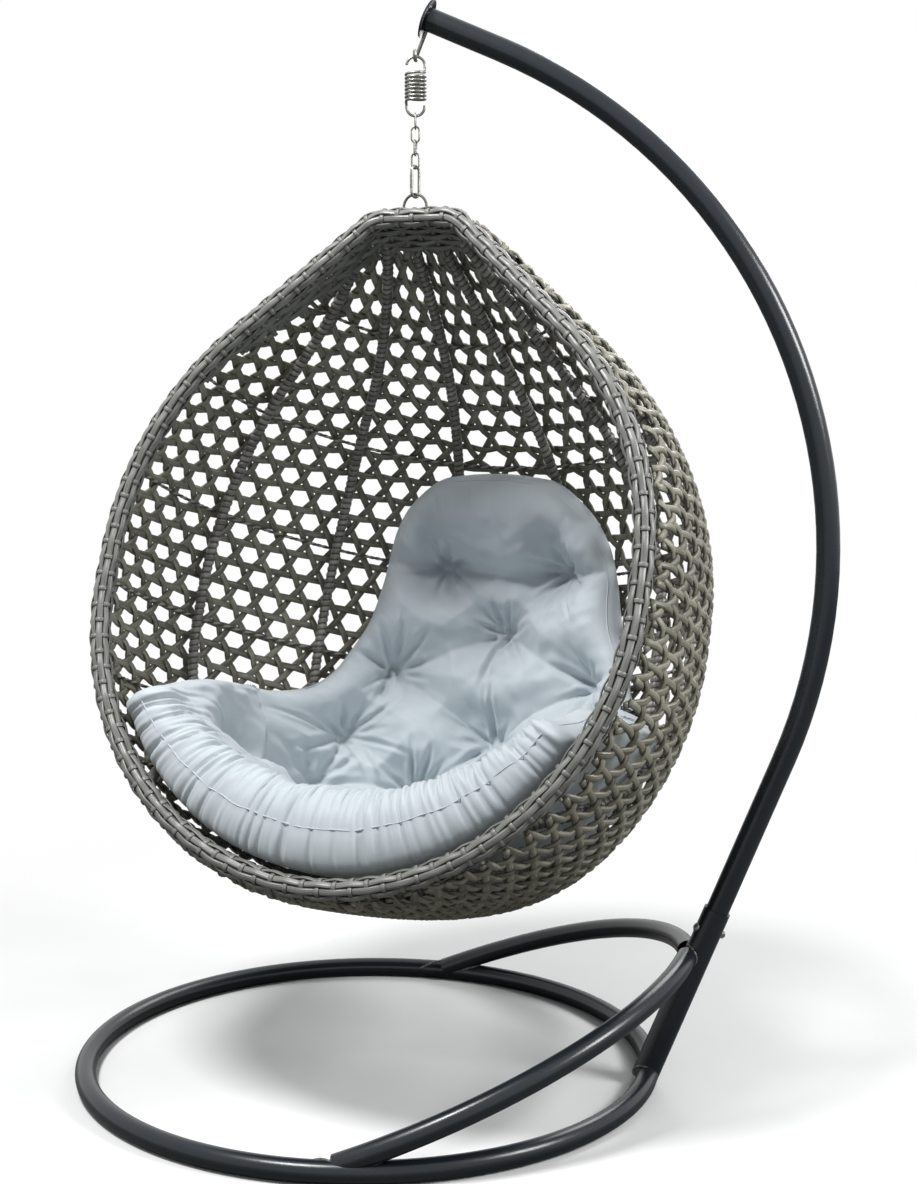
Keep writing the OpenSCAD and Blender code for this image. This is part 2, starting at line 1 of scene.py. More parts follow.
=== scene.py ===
# %% [markdown]
# # A hanging egg chair
# A woven basket hangs from a curved steel pole, on a spring, a short chain and a snap hook. The
# engineering solids come in first, as a fixed frame. Each later cell dresses one piece of it: woven
# strands in place of plain skins, a sewn cushion in place of a plain solid, and a finish for the
# steel. Everything is in metres, and every piece is built where it belongs, so nothing is fitted.

# %% Load the frame
import math
import bmesh
import bpy
import numpy as np
from mathutils import Matrix, Vector
from mathutils.bvhtree import BVHTree


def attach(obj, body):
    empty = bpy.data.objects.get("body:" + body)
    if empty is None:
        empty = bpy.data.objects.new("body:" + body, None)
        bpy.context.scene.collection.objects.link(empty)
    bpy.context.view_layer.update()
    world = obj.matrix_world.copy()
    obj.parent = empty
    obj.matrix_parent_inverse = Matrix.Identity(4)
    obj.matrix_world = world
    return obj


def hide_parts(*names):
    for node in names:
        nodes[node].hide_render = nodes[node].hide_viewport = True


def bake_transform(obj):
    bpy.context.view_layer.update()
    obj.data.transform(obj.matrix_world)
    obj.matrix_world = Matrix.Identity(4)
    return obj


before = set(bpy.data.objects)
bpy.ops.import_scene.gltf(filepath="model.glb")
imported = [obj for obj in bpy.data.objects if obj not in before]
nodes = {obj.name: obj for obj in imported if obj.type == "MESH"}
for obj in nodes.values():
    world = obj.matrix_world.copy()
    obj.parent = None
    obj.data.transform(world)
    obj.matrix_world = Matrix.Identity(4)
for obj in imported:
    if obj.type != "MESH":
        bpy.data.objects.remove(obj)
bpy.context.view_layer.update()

# %% [markdown]
# ## The camera
# A camera is an empty point of view until its lens and its axes are set. Here the eye stands a
# little over 3 m in front of the chair, slightly to the right, and looks down by 6 degrees. The axes
# are worked out from the turn, the dip and a very small roll, because three named angles are easier
# to read and to change than a matrix.

# %% Camera
eye = Vector((0.5413, -3.224, 1.252))
turn, dip, roll = math.radians(9.27), math.radians(6.12), math.radians(0.35)
lens_mm, sensor_mm = 54.73, 36
level_right = Vector((math.cos(turn), math.sin(turn), 0))
ahead = Vector((-math.sin(turn) * math.cos(dip), math.cos(turn) * math.cos(dip), -math.sin(dip)))
level_up = level_right.cross(ahead)
right = math.cos(roll) * level_right + math.sin(roll) * level_up
up = math.cos(roll) * level_up - math.sin(roll) * level_right
lens = bpy.data.cameras.new("camera")
lens.lens, lens.sensor_width, lens.sensor_fit = lens_mm, sensor_mm, "AUTO"
camera = bpy.data.objects.new("camera", lens)
camera.matrix_world = Matrix.Translation(eye) @ Matrix((right, up, -ahead)).transposed().to_4x4()
bpy.context.scene.collection.objects.link(camera)
bpy.context.scene.camera = camera
print("camera looks", round(math.degrees(dip), 2), "degrees down")

# %% [markdown]
# ## Light
# Soft studio light is three round lamps in an even pale room. The key lamp stands high in front and
# gives the chair its shape, the side lamp draws the pole and the basket's flank, and the back lamp
# parts the chair from the backdrop. Round lamps are used because their soft shadows have no corners.

# %% Lamps
def lamp(name, place, aim, size, power):
    data = bpy.data.lights.new(name, "AREA")
    data.shape, data.size, data.energy = "DISK", size, power
    obj = bpy.data.objects.new(name, data)
    obj.location = place
    obj.rotation_euler = (Vector(aim) - Vector(place)).to_track_quat("-Z", "Y").to_euler()
    bpy.context.scene.collection.objects.link(obj)
    print(name, "lamp", power, "W")

lamp("key", (-1.2, -1.5, 4.2), (0.0, 0.0, 0.9), size=1.0, power=170)
lamp("side", (3.2, -0.8, 2.6), (0.0, 0.0, 0.9), size=1.2, power=105)
lamp("back", (1.2, 3.0, 3.2), (0.1, 0.0, 1.0), size=2.0, power=50)

# %% [markdown]
# ## Graphs of nodes
# A finish is a small graph of nodes, and so is the room. Noise that is fixed to the piece changes the
# colour a little and lifts the surface a little, which tells powder coat, zinc, cane and cloth apart
# from coloured plastic. Helpers keep each graph short: an input is given by its socket's name, with
# _ for a space, or by its number, such as _6. What is even all over is set straight on the shader.

# %% Node helpers
def wire(owner, source, target):
    owner.node_tree.links.new(source, target)

def node(owner, kind, settings=(), **inputs):
    made = owner.node_tree.nodes.new("ShaderNode" + kind)
    for key, value in dict(settings).items():
        setattr(made, key, value)
    for key, value in inputs.items():
        socket = made.inputs[int(key[1:])] if key[1:].isdigit() else made.inputs[key.replace("_", " ")]
        if isinstance(value, bpy.types.NodeSocket):
            wire(owner, value, socket)
        else:
            socket.default_value = value
    return made

def maths(owner, operation, *values):
    inputs = {"_%d" % k: value for k, value in enumerate(values)}
    return node(owner, "Math", {"operation": operation}, **inputs).outputs[0]

# %% Finish helpers
def finish(name, **values):
    mat = bpy.data.materials.new(name)
    mat.use_nodes = True
    mat.node_tree.nodes.clear()
    shader = node(mat, "BsdfPrincipled", **values)
    node(mat, "OutputMaterial", Surface=shader.outputs[0])
    print("finish", name)
    return mat, shader

def place_noise(mat, scale, detail=3.0):
    spot = node(mat, "TexCoord").outputs["Object"]
    return node(mat, "TexNoise", Vector=spot, Scale=scale, Detail=detail, Roughness=0.5).outputs["Fac"]

def two_tone(mat, share, low, high, start=0.3, end=0.7):
    ramp = node(mat, "ValToRGB", Fac=share)
    first, last = ramp.color_ramp.elements
    first.position, last.position = start, end
    first.color, last.color = (*low, 1), (*high, 1)
    return ramp.outputs["Color"]

def mottled(mat, shader, scale, detail, low, high, **span):
    wire(mat, two_tone(mat, place_noise(mat, scale, detail), low, high, **span), shader.inputs["Base Color"])

def uneven_gloss(mat, shader, scale, low, high):
    rubbed = node(mat, "MapRange", Value=place_noise(mat, scale, 4.0), To_Min=low, To_Max=high)
    wire(mat, rubbed.outputs[0], shader.inputs["Roughness"])

def lift(mat, shader, height, strength, distance):
    made = node(mat, "Bump", Height=height, Strength=strength, Distance=distance)
    wire(mat, made.outputs[0], shader.inputs["Normal"])

# %% [markdown]
# ### The room
# The world stands for the walls of the studio. To the camera, and in reflections, it shows plain
# white. What it sheds on the chair is dimmer, so that colours come out about as they are written.
# One graph does both, by asking each ray what kind it is.

# %% World
glow_strength, glow_colour, white = 0.36, (0.96, 0.98, 1.0, 1), (1, 1, 1, 1)
room = bpy.data.worlds.new("studio")
bpy.context.scene.world = room
room.use_nodes = True
room.node_tree.nodes.clear()
rays = node(room, "LightPath").outputs
seen = maths(room, "MAXIMUM", rays["Is Camera Ray"], rays["Is Glossy Ray"])
seen = maths(room, "MAXIMUM", seen, rays["Is Transmission Ray"])
glow = node(room, "Background", Color=glow_colour, Strength=glow_strength)
wall = node(room, "Background", Color=white, Strength=1.0)
choose = node(room, "MixShader", _0=seen, _1=glow.outputs[0], _2=wall.outputs[0])
node(room, "OutputWorld", Surface=choose.outputs[0])
bpy.context.scene.view_settings.view_transform = "Standard"
print("world strength on the chair:", glow_strength)

# %% [markdown]
# ### The floor
# A studio floor is a wide sheet of paper. One flat face is enough, since it is no part of the chair.
# The paper is pale to the eye and fades to white further out, so that floor and wall run into each
# other. To every other ray it is dark grey, because a bright floor would throw so much light up that
# the basket's underside would lose its shade.

# %% Floor
dark_paper, fade_from, fade_to = (0.16, 0.16, 0.15, 1), 0.9, 2.2
floor_mesh = bpy.data.meshes.new("floor")
floor_mesh.from_pydata([(-9, -7, 0), (9, -7, 0), (9, 11, 0), (-9, 11, 0)], [], [(0, 1, 2, 3)])
floor = bpy.data.objects.new("floor", floor_mesh)
bpy.context.scene.collection.objects.link(floor)

paper, shader = finish("floor_paper", Roughness=0.9)
seen = node(paper, "LightPath").outputs["Is Camera Ray"]
pale = two_tone(paper, place_noise(paper, 3), (0.80, 0.80, 0.80), (0.84, 0.84, 0.84))
tint = node(paper, "Mix", {"data_type": "RGBA"}, _0=seen, _6=dark_paper, _7=pale)
wire(paper, tint.outputs[2], shader.inputs["Base Color"])
spot = node(paper, "TexCoord").outputs["Object"]
far = node(paper, "VectorMath", {"operation": "LENGTH"}, _0=spot).outputs["Value"]
fade = node(paper, "MapRange", {"interpolation_type": "SMOOTHSTEP"},
            Value=far, From_Min=fade_from, From_Max=fade_to)
backdrop = node(paper, "Emission", Color=white, Strength=1.0)
mixed = node(paper, "MixShader", _0=maths(paper, "MULTIPLY", fade.outputs[0], seen),
             _1=shader.outputs[0], _2=backdrop.outputs[0])
wire(paper, mixed.outputs[0], paper.node_tree.get_output_node("ALL").inputs[0])
floor_mesh.materials.append(paper)

# %% [markdown]
# ### Powder coat
# Powder coat is baked plastic dust on steel. It has a satin gloss, a very fine orange-peel texture
# and small flecks of another grey. Three noises do it: a dense one for the flecks, a softer one for
# the peel, and a very wide one for the gloss, which hands and weather rub unevenly.

# %% Powder coat
powder, shader = finish("powder_coat", Specular_IOR_Level=0.42)
mottled(powder, shader, 1400, 2.0, (0.006, 0.009, 0.013), (0.018, 0.024, 0.031), start=0.42, end=0.72)
uneven_gloss(powder, shader, 9, 0.20, 0.30)
lift(powder, shader, place_noise(powder, 700, 2.0), 0.18, 0.0006)

# %% [markdown]
# ### Zinc, bare weld and loop paint
# Zinc plate is a thin metal skin, slightly cloudy. A weld bead is painted over, but smoother and a
# little lighter where the coat is thin. The loop on top of the basket has a plain dull paint. Each
# is one noise for the colour and one for the surface, and they differ in metal and gloss.

# %% Zinc, weld and loop paint
zinc, shader = finish("zinc_plate", Metallic=0.9)
mottled(zinc, shader, 160, 5.0, (0.16, 0.16, 0.145), (0.34, 0.34, 0.32))
uneven_gloss(zinc, shader, 300, 0.26, 0.46)
lift(zinc, shader, place_noise(zinc, 900, 2.0), 0.12, 0.0003)

weld_metal, shader = finish("weld_bead", Metallic=0.4, Roughness=0.38)
mottled(weld_metal, shader, 240, 4.0, (0.07, 0.068, 0.065), (0.30, 0.28, 0.25), start=0.4, end=0.8)
lift(weld_metal, shader, place_noise(weld_metal, 600), 0.4, 0.0008)

loop_paint, shader = finish("loop_paint", Roughness=0.42)
mottled(loop_paint, shader, 260, 3.0, (0.07, 0.075, 0.065), (0.14, 0.15, 0.13))
lift(loop_paint, shader, place_noise(loop_paint, 700), 0.15, 0.0004)

# %% [markdown]
# ### Cloth
# The cover is a smooth polyester in a pale blue grey. Close by it shows a fine plain weave, which is
# two sets of ridges at right angles. It is dull, with a faint sheen at the edges.

# %% Cloth
thread_scale = 260.0
cloth, shader = finish("polyester_cloth", Roughness=0.85, Sheen_Weight=0.25)
mottled(cloth, shader, 22, 4.0, (0.485, 0.535, 0.570), (0.515, 0.565, 0.600))
spot = node(cloth, "TexCoord").outputs["Object"]
warp, weft = (node(cloth, "TexWave", {"bands_direction": way}, Vector=spot, Scale=thread_scale,
                   Distortion=1.5, Detail=1.0).outputs["Fac"] for way in ("X", "Z"))
lift(cloth, shader, maths(cloth, "ADD", warp, weft), 0.12, 0.0003)

# %% [markdown]
# ### Cane
# The strands are plastic cane: half-round, satin, drawn with fine lines along their length and
# mottled in two greys that change slowly as a strand runs on. Each strand carries three marks of
# its own: tone, how dark that length is, run, how far along it a point lies, and side, where a
# point lies across it. The finish reads them, so that streaks follow the strand round every bend.
# It also darkens towards the two edges of a strand, a painted shade where the strands of a weave meet.

# %% Cane
streaks_along, streaks_across, tone_share = 16.0, 2.2, 0.32
ridge_rate, groove_shade_level = 13.0, 0.15

def cane_finish(name, low, high, rough, groove=0.0, edge_from=0.78):
    mat, shader = finish(name, Roughness=rough)
    run, side, tone = (node(mat, "Attribute", {"attribute_name": mark}).outputs["Fac"]
                       for mark in ("run", "side", "tone"))
    spot = node(mat, "CombineXYZ", X=maths(mat, "MULTIPLY", run, streaks_along),
                Y=maths(mat, "MULTIPLY_ADD", side, streaks_across, tone))
    streaks = node(mat, "TexNoise", {"noise_dimensions": "2D"}, Vector=spot.outputs[0],
                   Scale=1.0, Detail=4.0, Roughness=0.6)
    greys = maths(mat, "MULTIPLY_ADD", tone, tone_share, streaks.outputs["Fac"])
    colour = two_tone(mat, greys, low, high, 0.28, 0.95)
    # Painted shade: the colour darkens towards both edges of a strand, where neighbouring strands meet.
    edge = node(mat, "MapRange", {"interpolation_type": "SMOOTHSTEP"}, Value=maths(mat, "ABSOLUTE", side),
                From_Min=edge_from, From_Max=1.0, To_Max=groove)
    painted_groove_shade = (*[c * groove_shade_level for c in low], 1)
    shaded = node(mat, "Mix", {"data_type": "RGBA"}, _0=edge.outputs[0], _6=colour, _7=painted_groove_shade)
    wire(mat, shaded.outputs[2], shader.inputs["Base Color"])
    ridges = maths(mat, "SINE", maths(mat, "MULTIPLY", side, ridge_rate))
    lift(mat, shader, ridges, 0.25, 0.0004)
    return mat

cane = cane_finish("cane", (0.060, 0.056, 0.038), (0.300, 0.290, 0.230), 0.40, 0.6)
rim_cane = cane_finish("cane_of_the_rim", (0.052, 0.048, 0.036), (0.225, 0.230, 0.215), 0.36, 0.75)
wrap_cane = cane_finish("cane_of_the_ribs", (0.085, 0.080, 0.070), (0.30, 0.285, 0.255), 0.34, 0.95, 0.35)
twine_light = cane_finish("twine_light", (0.22, 0.21, 0.18), (0.42, 0.40, 0.35), 0.6)
twine_dark = cane_finish("twine_dark", (0.035, 0.033, 0.03), (0.10, 0.095, 0.085), 0.5)

# %% [markdown]
# ## Building bars
# Nearly everything on this chair is a bar: a strand, a wrapped rod, a wire, a weld. A bar is a path
# with a cross-section carried along it, whose points each have a place across the bar and a height
# towards the way called up. One helper carries any section along any path, marks each point with
# how far along and how far across it lies, and keeps every face a quad.

# %% Paths
def unit(rows):
    return rows / np.maximum(1e-12, np.linalg.norm(rows, axis=-1, keepdims=True))

def along(path, closed=False):
    ahead = np.roll(path, -1, 0) - np.roll(path, 1, 0)
    if not closed:
        ahead[0], ahead[-1] = path[1] - path[0], path[-1] - path[-2]
    return unit(ahead)

def run_of(path):
    return np.append(0, np.cumsum(np.linalg.norm(np.diff(path, axis=0), axis=1)))

def spaced(path, step, closed=False):
    if closed:
        path = np.vstack([path, path[:1]])
    run = run_of(path)
    count = max(3, round(run[-1] / step))
    stops = np.linspace(0, run[-1], count + 1)[:count if closed else count + 1]
    return np.stack([np.interp(stops, run, path[:, k]) for k in range(3)], 1), stops

def round_section(radius, sides=12):
    turn = np.linspace(0, 2 * np.pi, sides, endpoint=False)
    return np.stack([radius * np.cos(turn), radius * np.sin(turn)], 1)

right_side = np.array([(.45, -.34), (.5, -.16), (.41, .28), (.17, .5)])
half_round = np.vstack([right_side[:1] * (-1, 1), right_side, right_side[:0:-1] * (-1, 1)])
print("half-round section with", len(half_round), "points")

# %% Bars
def bar(path, up, section, tone=0.5, closed=False, coat=0, run=None, side=None):
    count, corners = len(path), section.shape[-2]
    across = unit(np.cross(along(path, closed), up))
    top = np.cross(across, along(path, closed))
    shape = np.broadcast_to(section, (count, corners, 2))
    points = path[:, None] + shape[..., :1] * across[:, None] + shape[..., 1:] * top[:, None]
    ring = np.arange(corners)
    first = np.arange(count if closed else count - 1)[:, None] * corners
    after = (first + corners) % (count * corners)
    turned = np.roll(ring, -1)
    quads = np.stack([first + ring, first + turned, after + turned, after + ring], -1).reshape(-1, 4)
    if not closed:
        fan = np.array([[0, k, k + 1, k + 2] for k in range(1, corners - 2, 2)])
        quads = np.vstack([quads, fan[:, ::-1], fan + (count - 1) * corners])
    run = run_of(path) if run is None else run
    side = shape[..., 0] / np.abs(section[..., 0]).max() if side is None else side
    made = {"points": points.reshape(-1, 3), "quads": quads, "coat": coat}
    for mark, value in (("run", run), ("side", side), ("tone", tone)):
        value = value[:, None] if np.ndim(value) == 1 else value
        made[mark] = np.broadcast_to(value, (count, corners)).reshape(-1)
    return made

# %% [markdown]
# ### From bars to a piece
# A layer of weaving has hundreds of strands, and each as an object of its own would be slow. So many
# bars are joined into one mesh, which is one piece. The same helper says which body the piece moves
# with, which engineering solids it stands in for, and which slot of colour it belongs to. A seeded
# dice gives each strand its tone, the same on every run.

# %% Pieces
def piece(name, bars, finishes, body, replaced):
    start, points, quads, coats = 0, [], [], []
    for one in bars:
        points.append(one["points"])
        quads.append(one["quads"] + start)
        coats.append(np.broadcast_to(one["coat"], len(one["quads"])))
        start += len(one["points"])
    mesh = bpy.data.meshes.new(name)
    mesh.from_pydata(np.vstack(points).tolist(), [], np.vstack(quads).tolist())
    for mark in ("run", "side", "tone"):
        values = np.concatenate([one[mark] for one in bars]).astype(np.float32)
        mesh.attributes.new(mark, "FLOAT", "POINT").data.foreach_set("value", values)
    for made in finishes:
        mesh.materials.append(made)
    mesh.polygons.foreach_set("material_index", np.concatenate(coats).astype(np.int32))
    faces = bmesh.new()
    faces.from_mesh(mesh)
    bmesh.ops.recalc_face_normals(faces, faces=faces.faces)
    faces.to_mesh(mesh)
    faces.free()
    mesh.polygons.foreach_set("use_smooth", np.ones(len(mesh.polygons), bool))
    obj = bpy.data.objects.new(name, mesh)
    bpy.context.scene.collection.objects.link(obj)
    if body:
        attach(obj, body)
    if replaced:
        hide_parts(*replaced)
    print(name, len(mesh.polygons), "faces")
    return obj

def numbered(name, count):
    return ["%s_%d" % (name, n + 1) for n in range(count)]

dice = np.random.default_rng(7)

# %% [markdown]
# ## The basket's shape
# The basket is half an egg, cut off flat by its rim. The outline of the rim is two straight flanks,
# two shoulders, a round bottom and a small round nose at the top. Behind it the bowl is described
# by two numbers: v, the level down from the top, and t, the share of the way round from the middle
# of the back (0) to either side of the rim (-1 and 1). Every strand, rib and hoop is drawn with v
# and t, then leaned back and turned as a whole to how the basket hangs.

# %% Outline of the rim
rim_r, basket_h, basket_depth, straight_side = 0.510, 1.200, 0.740, 0.053
shoulder_r, nose_r, flank_deg = 0.560, 0.060, 48
flank = math.radians(flank_deg)
lower_c = basket_h - rim_r
side_top = lower_c - straight_side
flank_low = side_top - shoulder_r * math.sin(flank)
flank_low_u = rim_r - shoulder_r * (1 - math.cos(flank))
nose_low = nose_r * (1 - math.sin(flank))
nose_u = flank_low_u - (flank_low - nose_low) * math.tan(flank) - nose_r * math.cos(flank)

def root(value):
    return np.sqrt(np.maximum(0, value))

def rim_half(v):
    v = np.asarray(v, float)
    return np.select([v >= lower_c, v >= side_top, v >= flank_low, v >= nose_low], [
        root(rim_r ** 2 - (v - lower_c) ** 2), rim_r,
        rim_r - shoulder_r + root(shoulder_r ** 2 - (side_top - v) ** 2),
        flank_low_u - (flank_low - v) * math.tan(flank)], nose_u + root(nose_r ** 2 - (nose_r - v) ** 2))

print("rim", 2 * rim_r, "m wide, nose", round(2 * (nose_u + nose_r), 3), "m wide")

# %% Egg surface
waist, deep_v = 0.215, 0.735
above_power, below_power = 3, 9
half_turn = math.acos(-waist / (1 - waist))
t_step, v_step = 0.002, 0.0002

def depth_at(v):
    v = np.asarray(v, float)
    below = (np.maximum(0, v - deep_v) / (basket_h - deep_v)) ** below_power
    above = (np.maximum(0, deep_v - v) / deep_v) ** above_power
    return np.where(v < deep_v, basket_depth * (1 - above), basket_depth * root(1 - below))

def bottom_level(q):
    return deep_v + (basket_h - deep_v) * np.sin(q) ** (2 / below_power)

def shell(v, t):
    v, t = np.broadcast_arrays(np.asarray(v, float), np.asarray(t, float))
    return np.stack([rim_half(v) * np.sin(half_turn * t) / math.sin(half_turn),
                     depth_at(v) * (waist + (1 - waist) * np.cos(half_turn * t)), -v], -1)

def outward(v, t):
    v = np.clip(v, 0.0005, basket_h - 0.0003)
    level = shell(v, t + t_step) - shell(v, t - t_step)
    return unit(np.cross(level, shell(v + v_step, t) - shell(v - v_step, t)))

def skin(v, t, out):
    return shell(v, t) + np.asarray(out, float)[..., None] * outward(v, t)

def t_at(v, depth):
    return np.arccos(np.clip((depth / depth_at(v) - waist) / (1 - waist), -1, 1)) / half_turn

def smooth(x):
    c = np.clip(x, 0, 1)
    return c * c * (3 - 2 * c)

print("the bowl turns", round(math.degrees(2 * half_turn)), "degrees from rim to rim")

# %% Hang the basket
lean, swivel = math.radians(-20), math.radians(-15)
hang_turn = np.array(Matrix.Rotation(swivel, 3, "Z") @ Matrix.Rotation(lean, 3, "X"))
hang_place = np.array([-0.067823, 0, 1.574015])

def hung(points):
    return points @ hang_turn.T + hang_place

def hung_way(ways):
    return ways @ hang_turn.T

print("rim's lowest point:", hung(np.array([0, 0, -basket_h])).round(3))

# %% [markdown]
# ## The woven skin
# The skin is an open weave of three families of cane, one level and two slanting, that cross at 60
# degrees and leave six-sided holes. It is woven by hand over the ribs, from the middle outwards. To
# lay it out, the egg is first flattened: a net of springs on its surface relaxes into a plane. In
# the plane the weave is only straight lines, and each point of a line is carried back to the egg.
# The holes keep their size over most of the back and close up a little towards the rim. The net has
# one fault: in two upright strips, 10 cm to either side of the middle of the back, and under the
# seat it folds over on itself as it relaxes. There the strands bunch up and break off.

# %% Net on the egg
weave_out, rim_gap = 0.0237, 0.013
net_rows, net_cols = 64, 61
middle_col, pinned_row = net_cols // 2, 20
top_share, lowest = 0.008, math.radians(88.7)
line_v = np.concatenate([deep_v * np.linspace(top_share, 1, 900),
                         bottom_level(lowest * np.linspace(0.02, 1, 3000) ** 4)])
line_run = run_of(shell(line_v, 0.0))
row_v = np.interp(np.linspace(0, line_run[-1], net_rows), line_run, line_v)
net_t = t_at(row_v, rim_gap)[:, None] * np.linspace(-1, 1, net_cols)
net_v = np.repeat(row_v[:, None], net_cols, 1)
net = skin(net_v, net_t, np.full(net_t.shape, weave_out))
print("net of", net_rows, "by", net_cols, "knots")

# %% Flatten the net
rounds, damping, push = 1500, 0.93, 0.35
gaps_x = np.linalg.norm(np.diff(net, axis=1), axis=2)
flat_x = np.cumsum(np.pad(gaps_x, ((0, 0), (1, 0))), axis=1)
flat_x -= flat_x[:, middle_col:middle_col + 1]
flat_y = -run_of(net[:, middle_col])[:, None]
flat = np.stack([flat_x, np.repeat(flat_y, net_cols, 1)], -1)
whole, start, end = slice(None), slice(0, -1), slice(1, None)
threads = [((whole, start), (whole, end)), ((start, whole), (end, whole)),
           ((start, start), (end, end)), ((start, end), (end, start))]
natural = [np.linalg.norm(net[b] - net[a], axis=-1) for a, b in threads]
drift = np.zeros_like(flat)
for _ in range(rounds):
    pull = np.zeros_like(flat)
    for (a, b), rest in zip(threads, natural):
        gap = flat[b] - flat[a]
        size = np.linalg.norm(gap, axis=-1)
        tug = gap * (0.5 * (1 - rest / np.maximum(1e-9, size)))[..., None]
        pull[a] += tug
        pull[b] -= tug
    drift = damping * drift + push * pull
    flat = flat + drift
flat -= flat[pinned_row, middle_col]
print("flattened to", np.ptp(flat, (0, 1)).round(2), "m")

# %% Back to the egg
corners = np.arange(net_rows * net_cols).reshape(net_rows, net_cols)
cells = np.stack([corners[:-1, :-1], corners[:-1, 1:], corners[1:, 1:], corners[1:, :-1]], -1).reshape(-1, 4)
tris = np.vstack([cells[:, :3], cells[:, [0, 2, 3]]])
flat_points = np.column_stack([flat.reshape(-1, 2), np.zeros(flat.size // 2)])
sheet = BVHTree.FromPolygons(flat_points.tolist(), tris.tolist())
knots_vt = np.stack([net_v.ravel(), net_t.ravel()], 1)

def on_egg(spot):
    hit = sheet.ray_cast(Vector((spot[0], spot[1], 1)), Vector((0, 0, -1)))
    if hit[0] is None:
        return None
    tri = tris[hit[2]]
    a, b, c = flat_points[tri, :2]
    w = np.linalg.solve(np.column_stack([b - a, c - a]), spot - a)
    return (1 - w.sum()) * knots_vt[tri[0]] + w @ knots_vt[tri[1:]]

print("sheet of", len(tris), "triangles")

# %% [markdown]
# ### The three families
# Each family is a row of straight lines in the plane, one pitch apart. A strand rides up where it
# crosses the next family and dips half a pitch later, so that each family lies over one neighbour
# and under the other. Close to the rim the strands sink, to tuck in under the braid.

# %% Lay the three families
pitch, wave = 0.0468, 0.0033
weave_cane = half_round * (0.0136, 0.0068)
reach, strand_step, lines_each_way = 2.4, 0.009, 52
rim_sink, rim_back, sink_over = 0.007, 0.014, 0.03
phases = (0.22, 0.10, 0.18)
normals = [np.array([math.cos(a), math.sin(a)]) for a in np.radians([90, 210, 330])]

def stretches(found):
    first = None
    for j in range(len(found) + 1):
        if j < len(found) and found[j] is not None:
            first = j if first is None else first
        elif first is not None:
            if j - first > 3:
                yield first, j
            first = None

def family(k):
    way = np.array([-normals[k][1], normals[k][0]])
    over, over_phase = normals[(k + 1) % 3], phases[(k + 1) % 3]
    strands = []
    for i in range(-lines_each_way, lines_each_way + 1):
        line = normals[k] * pitch * (i + phases[k]) + np.arange(-reach, reach, strand_step)[:, None] * way
        found = [on_egg(spot) for spot in line]
        for first, last in stretches(found):
            v, t = np.array(found[first:last]).T
            lap = np.cos(2 * np.pi * (line[first:last] @ over / pitch - over_phase))
            from_rim = shell(v, t)[:, 1] - rim_back
            out = weave_out - rim_sink * (1 - smooth(from_rim / sink_over)) + wave * lap
            path, up_way = hung(skin(v, t, out)), hung_way(outward(v, t))
            strands.append(bar(path, up_way, weave_cane, tone=dice.uniform(0, 1)))
    return strands

for k, name in enumerate(("weave_level", "weave_left", "weave_right")):
    piece(name, family(k), [cane], "basket", numbered("weave", 7))

# %% [markdown]
# ## The ribs
# Six steel rods run down the back and curl under the seat. Each is wrapped in cane, turn against
# turn, which hides the steel and gives the weave something to grip. The wrap is a bar whose
# cross-section swells once for each turn, and the swell runs on round the rod as it goes down, so
# the grooves are a screw thread. A rib is given by its t at the top, the level where it ends, the
# level where it starts to curl in, and how late in the curl it turns.

# %% Wrapped ribs
rib_r, wrap_pitch, round_steps = 0.010, 0.0125, 12
wrap_t, groove_t, wrap_round = 0.0008, 0.0030, 0.6
rib_shape = [(-0.695, 1.060, 0.850, 2), (-0.415, 1.150, 0.950, 3), (-0.140, 1.190, 1.000, 4)]

def on_skin(v, t, out, step):
    run = run_of(skin(v, t, np.full(v.shape, out)))
    stops = np.linspace(0, run[-1], round(run[-1] / step) + 1)
    v2, t2 = np.interp(stops, run, v), np.interp(stops, run, t)
    return hung(skin(v2, t2, np.full(v2.shape, out))), hung_way(outward(v2, t2)), stops

def rib_start(t0):
    share = rim_back / (waist + (1 - waist) * math.cos(half_turn * t0)) / basket_depth
    return deep_v * (1 - (1 - share) ** (1 / above_power))

wraps, spin = [], np.linspace(0, 2 * np.pi, round_steps, endpoint=False)
for t0, end, bend, power in rib_shape:
    v = end - (end - rib_start(t0)) * (1 - np.linspace(0, 1, 2500)) ** 2
    curl = (np.maximum(0, v - bend) / (end - bend)) ** power
    t = t0 + (-float(t_at(end, rim_back)) - t0) * curl
    for side in (1, -1):
        path, up_way, stops = on_skin(v, side * t, 0.0, wrap_pitch / 7)
        turns = stops[:, None] / wrap_pitch + spin / (2 * np.pi)
        radius = rib_r + wrap_t - groove_t * (1 - np.abs(np.sin(np.pi * turns)) ** wrap_round)
        section = np.stack([radius * np.cos(spin), radius * np.sin(spin)], -1)
        tone = dice.uniform(0, 1, 400)[np.floor(turns).astype(int)]
        # The side mark peaks in the groove between two turns, so the finish paints shade into that groove.
        wraps.append(bar(path, up_way, section, tone, run=np.broadcast_to(spin * rib_r, turns.shape),
                         side=np.maximum(0, np.cos(2 * np.pi * turns))))
piece("rib_wraps", wraps, [wrap_cane], "basket", numbered("rib", 6))

# %% [markdown]
# ## The hoops
# Seven thin rods run level round the back, outside the ribs. Twine is twisted round them and ties
# them to the ribs: one light strand and one dark strand, laid like rope. The cross-section has two
# lobes and turns once every 26 mm, and each lobe has its own colour.

